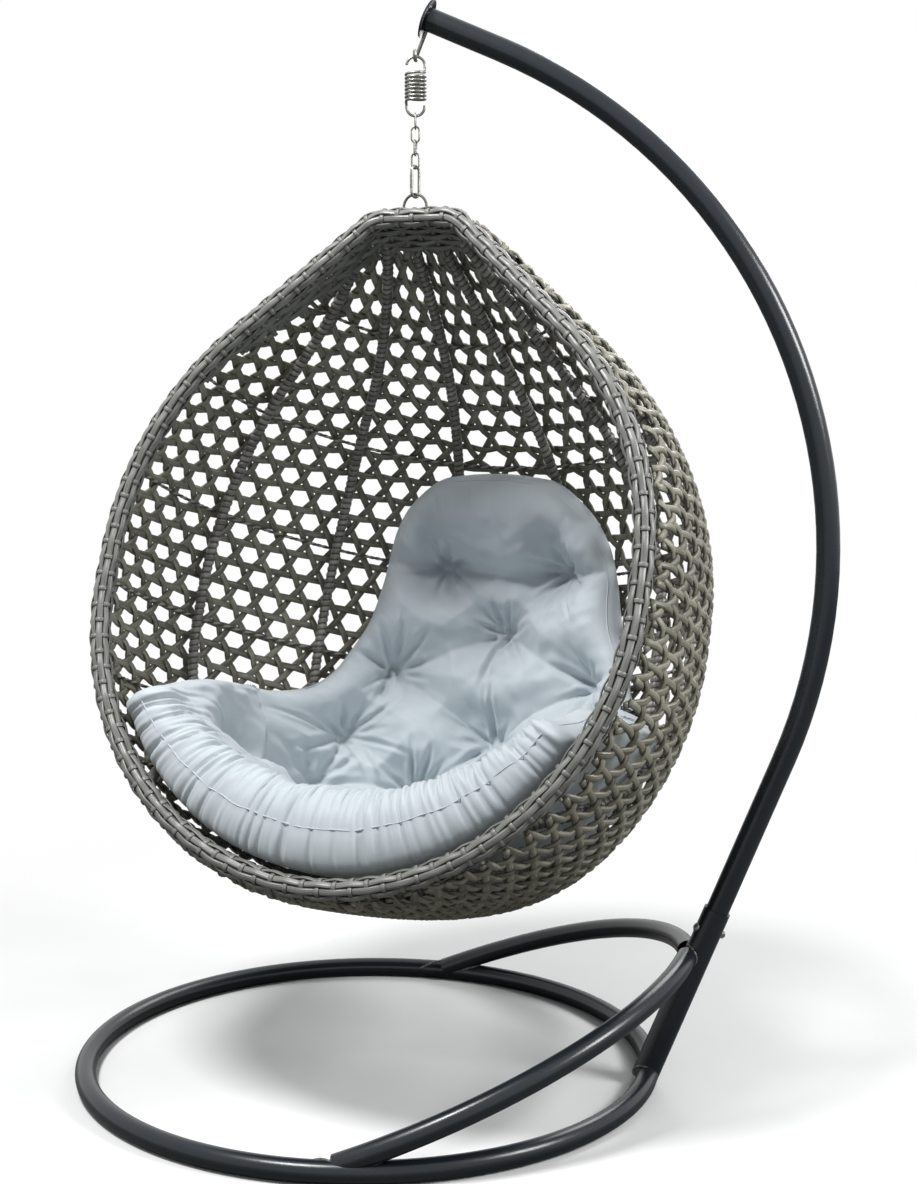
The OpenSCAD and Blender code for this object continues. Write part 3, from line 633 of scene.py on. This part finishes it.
# %% Twined hoops
hoop_levels, hoop_out, lay = (0.130, 0.290, 0.478, 0.684, 0.850, 1.000, 1.110), 0.0155, 0.026
twine_sides, core_r, lobe = 12, 0.0020, 0.0015
twines, spin = [], np.radians(-75 + 30 * np.arange(twine_sides))
for v0 in hoop_levels:
    end = float(t_at(v0, rim_back))
    t = np.linspace(-end, end, 900)
    path, up_way, stops = on_skin(np.full(t.shape, v0), t, hoop_out, lay / 12)
    around = spin + 2 * np.pi * stops[:, None] / lay
    radius = core_r + lobe * np.abs(np.cos(spin)) ** 0.7
    section = np.stack([radius * np.cos(around), radius * np.sin(around)], -1)
    one = bar(path, up_way, section, tone=dice.uniform(0, 1))
    one["coat"] = np.zeros(len(one["quads"]), int)
    dark_half = np.tile(np.arange(twine_sides) >= twine_sides / 2, len(path) - 1)
    one["coat"][:len(dark_half)] = dark_half
    twines.append(one)
piece("hoop_twine", twines, [twine_light, twine_dark], "basket", numbered("hoop", 7))

# %% [markdown]
# ## The braided rim
# The rim is a bent steel tube in a braided sleeve. Eight flat canes run along it, each two
# neighbours half a step apart, and narrow canes go round it, over one and under the next. The braid
# follows the rim's outline, which is made of straight flanks and bends, as one closed line.

# %% Rim line
braid_step, points_a_step, inside = 0.060, 10, (0, 0, -0.65)

def arc(centre_x, centre_v, r, start, end, count):
    a = np.radians(np.linspace(start, end, count))
    return np.stack([centre_x + r * np.cos(a), centre_v - r * np.sin(a)], 1)

half = np.vstack([[(0, 0)], arc(nose_u, nose_r, nose_r, 90, flank_deg, 40),
                  arc(rim_r - shoulder_r, side_top, shoulder_r, flank_deg, 0, 160),
                  arc(0, lower_c, rim_r, 0, -90, 240)])
loop = np.vstack([half, (half * (-1, 1))[-2:0:-1]])
rim_line = np.column_stack([loop[:, 0], np.zeros(len(loop)), -loop[:, 1]])
rim_length = run_of(np.vstack([rim_line, rim_line[:1]]))[-1]
braid_steps = round(rim_length / braid_step)
path_steps = points_a_step * braid_steps
rim_path, rim_stops = spaced(rim_line, rim_length / path_steps, closed=True)
behind = np.array([0.0, 1.0, 0.0])
away = unit(np.cross(along(rim_path, True), behind))
away *= np.sign((away * (rim_path - inside)).sum(1, keepdims=True))
print("rim", round(rim_length, 3), "m,", braid_steps, "braid steps")

# %% Sleeve
rows, sleeve_r, inner_r, braid_wave = 8, 0.0163, 0.0145, 0.0019
long_cane, cross_cane = half_round * (0.0118, 0.0040), half_round * (0.0090, 0.0030)
wander, wander_rate = np.radians(2.5), 0.043
between = points_a_step // 2
phase = 2 * np.pi * np.arange(path_steps) / points_a_step

def shade_of(row):
    return ((phase / np.pi + row) / 2).astype(int)

def round_rim(angle, out):
    way = np.cos(angle)[:, None] * out + np.sin(angle)[:, None] * behind
    return way, hung_way(way)

braid = [bar(hung(rim_path), hung_way(away), round_section(inner_r, 16), closed=True, coat=1)]
for k in range(rows):
    middle = 2 * np.pi * (k + 0.5) / rows
    way, up_way = round_rim(middle + wander * np.sin(np.arange(path_steps) * wander_rate + k), away)
    radius = sleeve_r + braid_wave * np.cos(phase + np.pi * k)
    # Painted light and shade: canes on the outer face of the rim tube are lighter, those turned into the
    # basket darker.
    painted_light = 0.55 - 0.45 * math.sin(middle) + 0.15 * math.cos(middle)
    shades = dice.uniform(-1, 1, braid_steps + 1)
    tone = np.clip(painted_light + 0.22 * shades[shade_of(k) % len(shades)], 0, 1)
    braid.append(bar(hung(rim_path + radius[:, None] * way), up_way, long_cane, tone, closed=True))
around = np.linspace(0, 2 * np.pi, 48, endpoint=False)
for j in range(0, path_steps, between):
    way, up_way = round_rim(around, away[j])
    radius = sleeve_r - braid_wave * np.cos(np.pi * j / between + around / 2 * rows - np.pi / 2)
    # Painted light and shade: each cross cane is lighter on the outer face of the rim and darker on the face
    # turned into the basket.
    tone = np.clip(0.45 - 0.4 * np.sin(around) + dice.uniform(-0.1, 0.1), 0, 1)
    braid.append(bar(hung(rim_path[j] + radius[:, None] * way), up_way, cross_cane, tone, closed=True))
print(len(braid), "canes in the sleeve")

# %% [markdown]
# ### The band under the nose
# Inside the rim's top the braid runs on backwards as a band of four wider canes, which hides where
# the weave ends. Each row is shorter than the last, so the band narrows down the flanks, and short
# canes across it hold the rows. It moves inwards as it goes back, most where the rim faces up.

# %% Band of braid
band_rows, band_start, row_gap, band_in = 4, 0.017, 0.0142, 0.0128
band_reach, row_less, band_slope = 0.30, 0.060, 0.33
band_cane = half_round * (0.0158, 0.0060)
facing_up = band_slope * smooth((away[:, 2] - 0.70) / 0.25)
level = np.abs(rim_path[:, 2])
near_top = np.argsort(np.where(rim_path[:, 0] < 0, rim_stops - rim_length, rim_stops))
near_top = near_top[level[near_top] < band_reach]
for m in range(band_rows):
    row = near_top[level[near_top] < band_reach - row_less * m]
    deep = band_start + row_gap * m + 0.0008 * np.sin(row * 0.31 + m)
    inset = band_in + deep * facing_up[row] + braid_wave * np.cos(phase[row] + np.pi * m)
    line = rim_path[row] - inset[:, None] * away[row] + deep[:, None] * behind
    tone = np.clip(0.12 + 0.3 * dice.uniform(0, 1, path_steps)[shade_of(m)[row]], 0, 1)
    braid.append(bar(hung(line), hung_way(-away[row]), band_cane, tone))
for j in near_top[near_top % between == 0]:
    deep = np.linspace(0.010, 0.012 + 0.070 * smooth((0.34 - level[j]) / 0.26), 14)
    weave_in = braid_wave * np.cos(np.pi * j / between + np.pi * (deep - band_start) / row_gap)
    inset = band_in + deep * facing_up[j] - weave_in
    line = rim_path[j] - inset[:, None] * away[j] + deep[:, None] * behind
    braid.append(bar(hung(line), hung_way(-away[j][None]), cross_cane, tone=dice.uniform(0.05, 0.35)))
piece("rim_braid_canes", braid, [rim_cane, twine_dark], "basket", ["rim_braid"])

# %% [markdown]
# ## The spring
# The spring is wound from 5 mm wire: seven and a half turns, then a hook bent up at each end. It is
# drawn as one path, from hook through coil to hook, with an eased curve wherever coil and hook meet.

# %% Helpers for wire
def carried(path, up_way):
    ways, ahead = [np.asarray(up_way, float)], along(path)
    for k in range(len(path)):
        way = ways[-1] - ahead[k] * (ways[-1] @ ahead[k])
        ways.append(way / np.linalg.norm(way))
    return np.array(ways[1:])

def eased(a, leaving, b, arriving, count=16):
    s = np.linspace(0, 1, count)[1:-1, None]
    r = 1 - s
    return r ** 3 * a + 3 * r * r * s * (a + leaving) + 3 * r * s * s * (b - arriving) + s ** 3 * b

def upright(z, r, start, end, count=36):
    a = np.radians(np.linspace(start, end, count))
    return np.stack([r * np.cos(a), 0 * a, z + r * np.sin(a)], 1)

# %% Spring
axis_x, coil_top, coil_r, coil_pitch, coil_turns = -0.067823, 1.827965, 0.0175, 0.0065, 7.5
wire_r, stretch_top, stretch_low, coil_turned = 0.0025, 1.826, 1.781, math.radians(8)
top_hook_z, top_hook_r, low_hook_z, low_hook_r = 1.83997, 0.0163, 1.76872, 0.016
ease = 0.008
down, into_coil = np.array([0, 0, -ease]), np.array([-.006, -ease, 0])
a = np.radians(np.arange(40, 360 * coil_turns - 39, 12.0))
coil = np.stack([coil_r * np.cos(a), -coil_r * np.sin(a), coil_top - coil_pitch * a / (2 * np.pi)], 1)
over_hook = upright(top_hook_z, top_hook_r, 173, 0)
under_hook = upright(low_hook_z, low_hook_r, 180, 368)
wire_path = np.vstack([over_hook, eased(over_hook[-1], down, coil[0], into_coil), coil,
                       eased(coil[-1], ease * along(coil)[-1], under_hook[0], down), under_hook])
wire_path = wire_path @ np.array(Matrix.Rotation(coil_turned, 3, "Z")).T + (axis_x, 0, 0)
spring = piece("spring_wire", [bar(wire_path, carried(wire_path, behind), round_section(wire_r, 14))],
               [zinc], None, ["spring"])
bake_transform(spring)

# %% [markdown]
# ## Steel that keeps its solid
# The stand's tubes, the plate, the chain and the snap hook are right as they are, so they keep the
# engineering solids and only take a finish.

# %% Finishes for the steel
def painted(names, made):
    for name in names:
        nodes[name].data.materials.clear()
        nodes[name].data.materials.append(made)
    print(made.name, "on", ", ".join(names))

painted(["base_ring", "brace_left", "brace_right", "socket_tube", "pole", "end_plate"], powder)
painted(["rim_tube"], powder)
painted(["socket_bolt", "socket_nut", "hanging_hook", *numbered("chain_link", 4),
         "snap_hook_body", "snap_hook_gate", "gate_pin"], zinc)
painted(["top_loop"], loop_paint)

# %% [markdown]
# ### Weld beads
# Wherever two of the stand's tubes meet, a bead of weld is run round the joint. Its line is found by
# shining rays along one tube's wall until they land on the other tube. A brace's rays start at an
# angle on its own arc. The bead swells every 4 mm, as a weld laid by hand does.

# %% Weld helpers
ray_reach, lift_off, bead_step, ripple = 0.2, 0.0006, 0.0012, 0.0042

def landed(centre, ahead, radius, target, count=72):
    solid = nodes[target]
    surface = BVHTree.FromPolygons([solid.matrix_world @ p.co for p in solid.data.vertices],
                                   [tuple(face.vertices) for face in solid.data.polygons])
    ahead = Vector(ahead).normalized()
    side = ahead.orthogonal().normalized()
    spots = []
    for k in range(count):
        way = Matrix.Rotation(2 * math.pi * k / count, 3, ahead) @ side
        hit = surface.ray_cast(Vector(centre) + radius * way, ahead, ray_reach)
        if hit[0] is not None:
            spots.append(hit[0] - lift_off * ahead)
    print(len(spots), "rays landed on", target)
    return np.array(spots), np.array(ahead)

def bead(joint, size, closed=True):
    spots, ahead = joint
    line, stops = spaced(spots, bead_step, closed)
    swell = size * (0.82 + 0.18 * np.abs(np.sin(np.pi * stops / ripple)) ** 0.6)
    section = round_section(1, 10)[None] * swell[:, None, None]
    return bar(line, np.broadcast_to(-ahead, line.shape), section, closed=closed)

# %% Weld beads
ring_x, ring_r, tube_r, wall_in = -0.150719, 0.526, 0.019, 0.0006
brace_r, brace_tilt, brace_x, brace_y, brace_z = 0.575, math.radians(-22.3), 0.066, 0.060, 0.031
stand_bead, plate_bead, pole_r, step_back = 0.0024, 0.0018, 0.0208, 0.03
socket_turn, tip_turn, aim_share = math.radians(7), math.radians(156.9), 0.7
beads = []
for side in (-1, 1):
    a = side * socket_turn
    spot = (ring_x + ring_r * math.cos(a), ring_r * math.sin(a), tube_r)
    go = (math.sin(a * aim_share), -side * math.cos(a * aim_share), 0)
    beads.append(bead(landed(spot, go, tube_r - wall_in, "socket_tube"), stand_bead))
slope = Matrix.Rotation(brace_tilt, 3, "Y")
for side in (-1, 1):
    centre = Vector((ring_x + brace_x, -side * brace_y, brace_z))
    for angle, turned, forward, target in ((13, 10, 1, "socket_tube"), (82, 88, -1, "base_ring")):
        a, b = math.radians(angle), math.radians(turned)
        spot = centre + slope @ Vector((brace_r * math.cos(a), side * brace_r * math.sin(a), 0))
        go = slope @ Vector((math.sin(b), -side * math.cos(b), 0)) * forward
        beads.append(bead(landed(spot, go, tube_r - wall_in, target), stand_bead, closed=False))
tip_way = Vector((math.cos(tip_turn), 0, math.sin(tip_turn)))
plate_middle = Vector((-0.0502, 0, 1.92216))
beads.append(bead(landed(plate_middle - step_back * tip_way, tip_way, pole_r, "end_plate"), plate_bead))
piece("weld_beads", beads, [weld_metal], "stand", ())

# %% [markdown]
# ## The cushion's pattern
# One cushion fills the seat and climbs the back. It is cut flat, stuffed, buttoned down in rows and
# pushed into the basket, where the front folds up against the rim as a thick roll. Here too it is
# drawn flat, as a plan of x and level, which then folds onto the basket: up the back inside the
# bowl, and forward along the wall past the mouth's circle.

# %% Fold of the plan
rib_gap, lip_over = 0.0035, 0.010
cushion_out = rib_r + rib_gap
well_r = rim_r - cushion_out

def depth_of(x, v):
    c = np.clip(x * math.sin(half_turn) / rim_half(v), -1, 1)
    return depth_at(v) * (waist + (1 - waist) * root(1 - c * c))

def fold(x, v):
    r = np.hypot(x, v - lower_c)
    k = np.minimum(1, well_r / np.maximum(r, 1e-9))
    x2, v2 = x * k, lower_c + (v - lower_c) * k
    return np.stack([x2, depth_of(x2, v2) - np.maximum(0, r - well_r), -v2], -1)

def on_plan(x, v, height, e=0.015):
    inward = unit(np.cross(fold(x, v + e) - fold(x, v - e), fold(x + e, v) - fold(x - e, v)))
    return fold(x, v) + height[..., None] * inward

def round_mouth(r, a):
    return np.stack([r * np.sin(a), lower_c + r * np.cos(a)], -1)

def wall_len(a):
    spot = round_mouth(np.full(np.shape(a), well_r), a)
    return depth_of(spot[..., 0], spot[..., 1]) + lip_over

def degrees_round(x, v):
    return np.degrees(np.arctan2(x, v - lower_c))

print("wall at the front", round(float(wall_len(0.0)), 3), "m long")

# %% [markdown]
# ### Its outline
# Half of the outline runs from the front to the head: the lip follows the mouth as an arc, the wing
# turns round its side, and the edge climbs the back to the headrest. The other half mirrors it, and
# a smooth curve is run through all the points in even steps.

# %% Outline of the plan
hem_steps = 720
lip_a = np.radians(np.linspace(0, 62, 13))
wing = [(.790, 66), (.715, 69), (.600, 71.5), (.500, 73)]
edge = [(452, 825), (420, 806), (385, 782), (352, 735), (326, 675), (302, 610), (286, 540), (268, 470),
        (247, 400), (205, 340), (140, 291), (70, 275), (0, 270)]
half_plan = np.vstack([round_mouth(well_r + wall_len(lip_a), lip_a),
                       [round_mouth(r, math.radians(a)) for r, a in wing], np.array(edge) / 1000])
knots = np.vstack([half_plan * (-1, 1), half_plan[-2:0:-1]])

def rounded(knots, count):
    parts = []
    s = np.linspace(0, 1, 30, endpoint=False)[:, None]
    for k in range(len(knots)):
        p0, p1, p2, p3 = (knots[(k + j) % len(knots)] for j in (-1, 0, 1, 2))
        parts.append(0.5 * (2 * p1 + (p2 - p0) * s + (2 * p0 - 5 * p1 + 4 * p2 - p3) * s ** 2
                            + (3 * p1 - p0 - 3 * p2 + p3) * s ** 3))
    line = np.vstack(parts)
    return spaced(np.column_stack([line, np.zeros(len(line))]), run_of(line)[-1] / count, True)

hem, hem_run = rounded(knots, hem_steps)
hem, hem_run = hem[:hem_steps, :2], hem_run[:hem_steps]
print("cushion outline", round(float(hem_run[-1]), 2), "m in", len(hem), "steps")

# %% [markdown]
# ### Thickness, buttons and folds
# The height of the cloth over the plan is a sum of simple things. The body is thicker at the head
# and swells to a roll along the front. Each button pulls a small deep dimple in a wide shallow one,
# with folds raying out of it. Creases run from button to button, and the roll is gathered into
# upright folds. A cloth simulation could find folds too, but drawn ones stay where they are wanted.

# %% Buttons and creases
centre = np.array([0.0, 0.900])
half_buttons = [(148, 468), (0, 602), (240, 710), (0, 832), (308, 862), (160, 962), (330, 990), (500, 1056)]
buttons = np.array([(x * side, v) for x, v in half_buttons for side in ((1, -1) if x else (1,))]) / 1000
half_creases = [((148, 468), (275, 470), 15), ((148, 468), (0, 602), 9), ((0, 602), (240, 710), 12),
                ((240, 710), (0, 832), 15), ((240, 710), (308, 862), 13), ((240, 710), (330, 690), 8),
                ((0, 832), (160, 962), 12), ((308, 862), (160, 962), 12), ((308, 862), (330, 990), 9),
                ((330, 990), (500, 1056), 10), ((160, 962), (330, 990), 8), ((160, 962), (120, 1090), 8)]
creases = [((-148, 468), (-186, 380), 12), ((148, 468), (142, 375), 12),
           ((-148, 468), (148, 468), 17), ((0, 602), (0, 700), 6)]
creases += [((side * x0, v0), (side * x1, v1), deep)
            for (x0, v0), (x1, v1), deep in half_creases for side in (1, -1)]
print(len(buttons), "buttons,", len(creases), "creases")

# %% Folds
folds_a_button, front_folds, edge_every = 10, 58, 5

def fold_lines():
    pick = np.random.default_rng(21)
    lines = []
    for bx, bv in buttons:
        for k in range(folds_a_button):
            a = 2 * math.pi * k / folds_a_button + pick.uniform(-0.3, 0.3) + bx
            near, far = 0.010, pick.uniform(0.060, 0.150)
            lines.append((bx + near * math.cos(a), bv + near * math.sin(a), bx + far * math.cos(a),
                          bv + far * math.sin(a), pick.uniform(0.007, 0.015), pick.uniform(0.005, 0.008)))
    for a in np.radians(np.linspace(-66, 66, front_folds) + pick.uniform(-0.9, 0.9, front_folds)):
        lip = well_r + float(wall_len(np.array(a)))
        near, far = lip - pick.uniform(0, 0.02), lip - pick.uniform(0.07, 0.21)
        (x0, v0), (x1, v1) = round_mouth(near, a), round_mouth(far, a + math.radians(pick.uniform(-1.5, 1.5)))
        lines.append((x0, v0, x1, v1, pick.uniform(0.004, 0.011), pick.uniform(0.005, 0.009)))
    for spot in hem[::edge_every]:
        if abs(degrees_round(*spot)) > 64:
            inward = unit(centre - spot + pick.uniform(-0.1, 0.1, 2))
            x1, v1 = spot + inward * pick.uniform(0.018, 0.045)
            lines.append((*spot, x1, v1, pick.uniform(0.0015, 0.004), 0.004))
    return lines

folds = fold_lines()
print(len(folds), "folds")

# %% Height of the cloth
head_thick, seat_less, lip_thick, roll_more, roll_fade = 0.116, 0.012, 0.085, 0.060, 0.00028
roll_w, roll_blend, thinnest, deepest_pull = 0.070, 0.150, 0.010, 0.66
wide_dimple, deep_dimple = 0.062, 0.013

def bumps(x, v, seed, low, high, count=22):
    pick = np.random.default_rng(seed)
    total = 0
    for _ in range(count):
        turn, length = pick.uniform(0, 6.28), pick.uniform(low, high)
        place = (x * math.cos(turn) + v * math.sin(turn)) / length
        total = total + np.cos(2 * np.pi * place + pick.uniform(0, 6.28))
    return total / math.sqrt(count)

def to_line(x, v, x0, v0, x1, v1):
    share = np.clip(((x - x0) * (x1 - x0) + (v - v0) * (v1 - v0)) / ((x1 - x0) ** 2 + (v1 - v0) ** 2), 0, 1)
    return np.hypot(x - x0 - share * (x1 - x0), v - v0 - share * (v1 - v0)), share

def body_height(x, v):
    a = np.abs(degrees_round(x, v))
    to_lip = well_r + wall_len(np.radians(np.minimum(a, 89))) - np.hypot(x, v - lower_c)
    body = head_thick - seat_less * smooth((v - 0.6) / 0.2)
    front = lip_thick + roll_more * (1 - roll_fade * a * a)
    return body + (front - body) * np.where(a < 90, 1 - smooth((to_lip - roll_w) / roll_blend), 0)

def cloth_height(x, v):
    pull, dip = 0 * x, 0 * x
    for bx, bv in buttons:
        r = np.hypot(x - bx, v - bv)
        pull = np.maximum(pull, 0.40 * np.exp(-(r / wide_dimple) ** 2 / 2) + 0.30 * np.exp(-r / deep_dimple))
    for start, stop, deep in creases:
        d, share = to_line(x, v, *np.array(start + stop) / 1000)
        near_button = 0.45 + 0.55 * np.abs(2 * share - 1) ** 1.5
        line, valley = 0.9 * near_button * np.exp(-d / 0.008), 2.2 * np.exp(-(d / 0.046) ** 2)
        dip = dip + (deep / 1000 * (line + valley)) ** 4
    height = body_height(x, v) * (1 - np.minimum(deepest_pull, pull)) - dip ** 0.25
    for *ends, deep, wide in folds:
        d, share = to_line(x, v, *ends)
        groove, swell = np.exp(-(d / wide) ** 2), 0.4 * np.exp(-(d / wide - 1.9) ** 2)
        height = height - deep * (1 - share ** 1.5) * (groove - swell)
    height = height + 0.0030 * bumps(x, v, 11, 0.09, 0.20) + 0.0014 * bumps(x, v, 12, 0.030, 0.07)
    return np.maximum(height, thinnest)

# %% [markdown]
# ### Sewing
# The cover is built as rings: the outline first, then the same outline drawn in step by step, above
# and below, to the middle. Near the edge the upper rings rise in a quarter round, from a seam a
# little below half height. Along the front the seam is gathered: pulled in at uneven places.

# %% Gathers
front_share = smooth((72 - np.abs(degrees_round(*hem.T))) / 8)
gathers = np.zeros(hem_steps)
pick = np.random.default_rng(5)
for middle_run in np.arange(0, hem_run[-1], 0.030):
    off = hem_run - middle_run - pick.uniform(-0.014, 0.014)
    gathers += (0.001 + 0.013 * pick.uniform(0, 1) ** 2) * np.exp(-(off / pick.uniform(0.004, 0.011)) ** 2)
gathers *= front_share
print("deepest gather", round(1000 * gathers.max(), 1), "mm")

# %% Rings of cloth
seam_share, crown_w, under_w = 0.42, 0.060, 0.0105
top_edge = np.array([0, .4, 1.5, 3.5, 6.5, 10.5, 15.5, 21.5, 28, 35, 43, 51, 60]) / 1000
under_edge = np.array([.4, 1.5, 3.5, 7, 12, 18, 25, 34, 60]) / 1000
spokes = hem - centre
spoke_len = np.linalg.norm(spokes, axis=1)

def plan_rings(near_edge, inner):
    shares = np.linspace(0, 1, inner + 1)[1:-1]
    inside = [near_edge[-1] + (spoke_len - near_edge[-1]) * share for share in shares]
    return [np.minimum(w, spoke_len) for w in near_edge] + inside

def cloth_ring(w, upper):
    pulled_in = gathers * np.exp(-w / (0.030 if upper else 0.055)) * (1 - 0.6 * np.exp(-w / 0.004))
    tucked = w + 0.004 * np.exp(-w / 0.003) + pulled_in
    x, v = (hem - spokes * (tucked / spoke_len)[:, None]).T
    crown = root(1 - np.maximum(0, 1 - w / crown_w) ** 2)
    above = seam_share + (1 - seam_share) * crown
    below = seam_share * np.exp(-w / under_w) * (1 - crown ** 8)
    return on_plan(x, v, cushion_out + cloth_height(x, v) * (above if upper else below))

rings = [cloth_ring(w, True) for w in plan_rings(top_edge, 105)][::-1]
rings += [cloth_ring(w, False) for w in plan_rings(under_edge, 10)]
print(len(rings), "rings of cloth")

# %% Cushion
points = np.vstack(rings + [rings[0].mean(0), rings[-1].mean(0)])
ring = np.arange(hem_steps)
first = np.arange(len(rings) - 1)[:, None] * hem_steps
turned = np.roll(ring, -1)
after = first + hem_steps
quads = np.stack([first + ring, first + turned, after + turned, after + ring], -1)
even, last_ring = ring[::2], (len(rings) - 1) * hem_steps
caps = [np.stack([at + even, at + even + 1, at + (even + 2) % hem_steps, 0 * even + pole], -1)
        for at, pole in ((0, len(points) - 2), (last_ring, len(points) - 1))]
blank = np.zeros(len(points))
cover = {"points": hung(points), "quads": np.vstack([quads.reshape(-1, 4)] + caps), "coat": 0,
         "run": blank, "side": blank, "tone": blank}
cushion = piece("cushion_cover", [cover], [cloth], "cushion", ["cushion"])

# %% Seam
seam_line = hung(cloth_ring(np.full(hem_steps, 0.0004), True))
seam_line = sum(np.roll(seam_line, k, 0) for k in range(-5, 6)) / 11
seam = bar(seam_line, hung_way(behind[None]), round_section(0.0013, 6), closed=True)
piece("cushion_seam", [seam], [cloth], "cushion", ())
